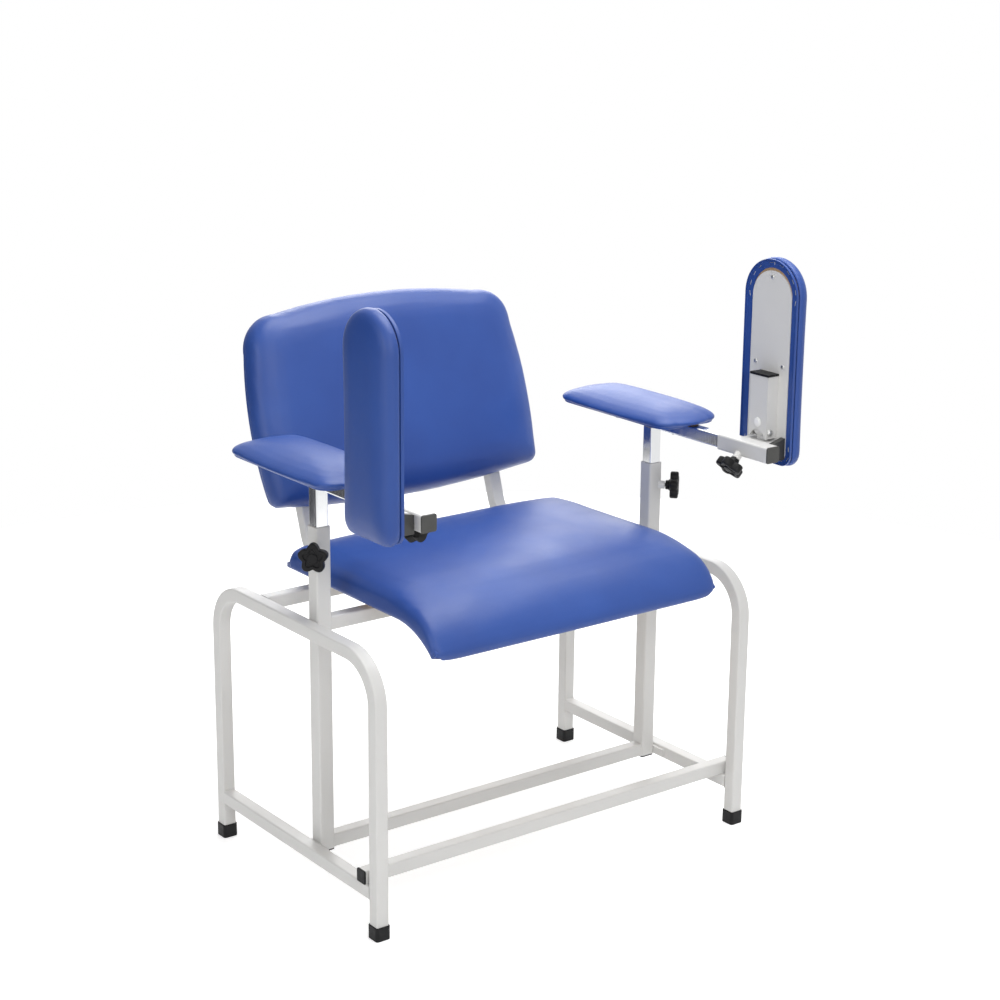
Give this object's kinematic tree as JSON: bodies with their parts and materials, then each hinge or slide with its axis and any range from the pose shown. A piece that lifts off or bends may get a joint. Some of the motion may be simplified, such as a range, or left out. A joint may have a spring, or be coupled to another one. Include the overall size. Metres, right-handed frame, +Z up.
{
  "type": "phlebotomy chair",
  "caption": "Blood-drawing chair: wide padded seat and back on a tall tubular frame, height-set armrests and padded arms that slide and flip over the lap.",
  "frame": {"origin": "on the floor, in the middle of the space that the whole chair takes up", "axes": "+X to the right of someone who faces the chair, +Y to the chair's back, +Z up; the sitter faces -Y"},
  "size_m": [0.9186, 0.7487, 1.106],
  "materials": {
    "powder_coat": "satin light grey powder coat",
    "chrome": "bright chrome plate",
    "black_steel": "satin black",
    "zinc": "zinc plated",
    "black_plastic": "moulded black nylon",
    "white_plastic": "moulded white nylon",
    "plywood": "sealed plywood",
    "vinyl": "royal blue upholstery vinyl, semi-gloss"
  },
  "bodies": {
    "frame": {"front_stretcher": "powder_coat", "middle_stretcher": "powder_coat", "seat_tube_front": "powder_coat", "seat_tube_rear": "powder_coat", "post_spacers": "powder_coat", "feet": "black_plastic", "post_plugs": "black_plastic", "tube_caps": "black_plastic", "seat_board": "plywood", "seat_cushion": "vinyl", "back_board": "plywood", "back_cushion": "vinyl", "cushion_bolts": "zinc", "side_frame_right": "powder_coat", "low_rail_right": "powder_coat", "back_bar_right": "powder_coat", "post_right": "powder_coat", "side_frame_left": "powder_coat", "low_rail_left": "powder_coat", "back_bar_left": "powder_coat", "post_left": "powder_coat"},
    "armrest_right": {"arm_post_right": "chrome", "arm_tube_right": "chrome", "arm_tube_cap_right": "black_plastic", "arm_board_right": "plywood", "arm_pad_right": "vinyl", "arm_bolts_right": "zinc"},
    "height_clamp_right": {"height_knob_right": "black_plastic"},
    "reach_slide_right": {"reach_sleeve_right": "powder_coat", "sleeve_cap_right": "black_plastic", "hinge_block_right": "black_steel"},
    "reach_clamp_right": {"reach_knob_right": "black_plastic"},
    "flip_arm_right": {"flip_bracket_right": "powder_coat", "bracket_cap_right": "black_plastic", "flip_button_right": "white_plastic", "flip_plate_right": "powder_coat", "flip_board_right": "plywood", "flip_pad_right": "vinyl", "plate_screws_right": "zinc", "hinge_pin_right": "zinc"},
    "armrest_left": {"arm_post_left": "chrome", "arm_tube_left": "chrome", "arm_tube_cap_left": "black_plastic", "arm_board_left": "plywood", "arm_pad_left": "vinyl", "arm_bolts_left": "zinc"},
    "height_clamp_left": {"height_knob_left": "black_plastic"},
    "reach_slide_left": {"reach_sleeve_left": "powder_coat", "sleeve_cap_left": "black_plastic", "hinge_block_left": "black_steel"},
    "reach_clamp_left": {"reach_knob_left": "black_plastic"},
    "flip_arm_left": {"flip_bracket_left": "powder_coat", "bracket_cap_left": "black_plastic", "flip_button_left": "white_plastic", "flip_plate_left": "powder_coat", "flip_board_left": "plywood", "flip_pad_left": "vinyl", "plate_screws_left": "zinc", "hinge_pin_left": "zinc"}
  },
  "joints": [
    {"name": "armrest_lift_right", "type": "slide", "parent": "frame", "child": "armrest_right", "axis": [0, 0, 1], "range_m": [-0.07, 0.06]},
    {"name": "height_knob_turn_right", "type": "hinge", "parent": "frame", "child": "height_clamp_right", "pos_m": [0.378, -0.0419, 0.634], "axis": [0.7071, -0.7071, 0], "range_deg": [0, 360]},
    {"name": "arm_reach_right", "type": "slide", "parent": "armrest_right", "child": "reach_slide_right", "axis": [0, -1, 0], "range_m": [-0.028, 0.02]},
    {"name": "reach_knob_turn_right", "type": "hinge", "parent": "reach_slide_right", "child": "reach_clamp_right", "pos_m": [0.378, -0.2974, 0.762], "axis": [-0.7071, 0, -0.7071], "range_deg": [0, 360]},
    {"name": "arm_flip_right", "type": "hinge", "parent": "reach_slide_right", "child": "flip_arm_right", "pos_m": [0.4105, -0.3064, 0.7892], "axis": [0, -1, 0], "range_deg": [0, 90]},
    {"name": "armrest_lift_left", "type": "slide", "parent": "frame", "child": "armrest_left", "axis": [0, 0, 1], "range_m": [-0.07, 0.06]},
    {"name": "height_knob_turn_left", "type": "hinge", "parent": "frame", "child": "height_clamp_left", "pos_m": [-0.378, -0.0419, 0.634], "axis": [-0.7071, -0.7071, 0], "range_deg": [0, 360]},
    {"name": "arm_reach_left", "type": "slide", "parent": "armrest_left", "child": "reach_slide_left", "axis": [0, -1, 0], "range_m": [-0.028, 0.02]},
    {"name": "reach_knob_turn_left", "type": "hinge", "parent": "reach_slide_left", "child": "reach_clamp_left", "pos_m": [-0.378, -0.2974, 0.762], "axis": [0.7071, 0, -0.7071], "range_deg": [0, 360]},
    {"name": "arm_flip_left", "type": "hinge", "parent": "reach_slide_left", "child": "flip_arm_left", "pos_m": [-0.4105, -0.3064, 0.7892], "axis": [0, 1, 0], "range_deg": [0, 90]}
  ]
}
